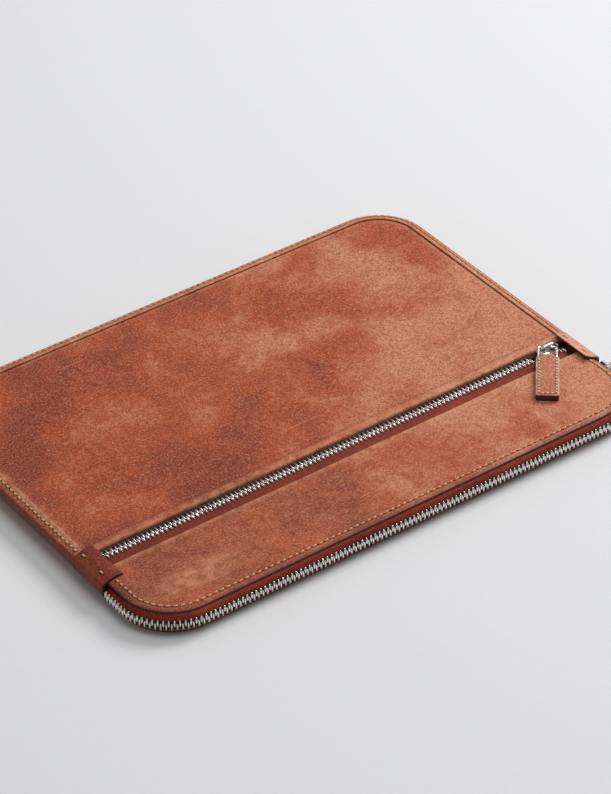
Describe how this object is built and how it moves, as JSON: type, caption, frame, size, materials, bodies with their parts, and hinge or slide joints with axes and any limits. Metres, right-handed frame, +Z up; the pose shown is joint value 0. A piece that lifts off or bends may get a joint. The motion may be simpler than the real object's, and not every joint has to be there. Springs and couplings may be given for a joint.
{
  "type": "travel document organizer",
  "caption": "Flat zipped leather document case with a zip round its mouth, a zip pocket across the front, sewn edge binding, side tabs and leather zip pulls.",
  "frame": {"origin": "on the underside of the back panel, at the middle of the case's width and depth", "axes": "+X along the zips to the end where the sliders rest, +Y from the mouth to the closed back edge, +Z up through the front panel"},
  "size_m": [0.3022, 0.2228, 0.0173],
  "materials": {
    "cognac_leather": "waxed pull-up leather with a satin sheen",
    "tab_leather": "smooth reddish-brown leather",
    "thread": "waxed tan thread",
    "nickel": "polished nickel",
    "zip_tape": "reddish-brown facing",
    "lining_cloth": "woven cotton"
  },
  "bodies": {
    "case": {"back_panel": "cognac_leather", "back_panel_stitching": "thread", "front_panel": "cognac_leather", "lower_panel_root": "cognac_leather", "edge_binding": "cognac_leather", "binding_stitching": "thread", "tab_left": "tab_leather", "tab_right": "tab_leather", "tab_stitches": "thread", "pocket_tape_upper": "zip_tape", "pocket_tape_lower": "zip_tape", "pocket_teeth_upper": "nickel", "pocket_teeth_lower": "nickel", "pocket_zip_stop": "nickel", "pocket_lining": "lining_cloth", "front_lining": "lining_cloth", "back_lining": "lining_cloth", "document_pocket": "lining_cloth", "card_pocket": "cognac_leather", "main_tape_back": "zip_tape", "main_teeth_back": "nickel"},
    "mouth_flap": {"lower_panel": "cognac_leather", "lower_panel_stitching": "thread", "flap_lining": "lining_cloth", "main_tape_front": "zip_tape", "main_teeth_front": "nickel"},
    "pocket_slider": {"pocket_slider": "nickel"},
    "pocket_ring": {"pocket_ring": "nickel"},
    "pocket_pull": {"pocket_pull": "cognac_leather", "pocket_pull_stitching": "thread"},
    "main_slider": {"main_slider": "nickel"},
    "main_ring": {"main_ring": "nickel"},
    "main_pull": {"main_pull": "cognac_leather", "main_pull_stitching": "thread"}
  },
  "joints": [
    {"name": "mouth_open", "type": "hinge", "parent": "case", "child": "mouth_flap", "pos_m": [0, -0.0659, 0.013], "axis": [-1, 0, 0], "range_deg": [0, 40], "deforming": ["main_teeth_front", "main_teeth_back"]},
    {"name": "pocket_slide", "type": "slide", "parent": "case", "child": "pocket_slider", "axis": [1, 0, 0], "range_m": [-0.24, 0], "deforming": ["pocket_teeth_upper", "pocket_teeth_lower"]},
    {"name": "pocket_ring_flip", "type": "hinge", "parent": "pocket_slider", "child": "pocket_ring", "pos_m": [0.1305, -0.0471, 0.0151], "axis": [-0.7727, 0.6347, 0], "range_deg": [0, 150]},
    {"name": "pocket_pull_swing", "type": "hinge", "parent": "pocket_ring", "child": "pocket_pull", "pos_m": [0.12479, -0.05405, 0.0151], "axis": [-0.7727, 0.6347, 0], "range_deg": [0, 80]},
    {"name": "main_slide", "type": "slide", "parent": "case", "child": "main_slider", "axis": [0, -1, 0], "range_m": [0, 0.006], "deforming": ["main_teeth_front", "main_teeth_back"]},
    {"name": "main_ring_flip", "type": "hinge", "parent": "main_slider", "child": "main_ring", "pos_m": [0.1514, -0.0715, 0.0065], "axis": [0, 0, 1], "range_deg": [0, 120]},
    {"name": "main_pull_swing", "type": "hinge", "parent": "main_ring", "child": "main_pull", "pos_m": [0.1514, -0.0805, 0.0065], "axis": [0, 0, 1], "range_deg": [0, 60]}
  ],
  "couplings": [
    {"joint": "pocket_pull_swing", "follows": "mouth_open", "ratio": 0.6}
  ]
}
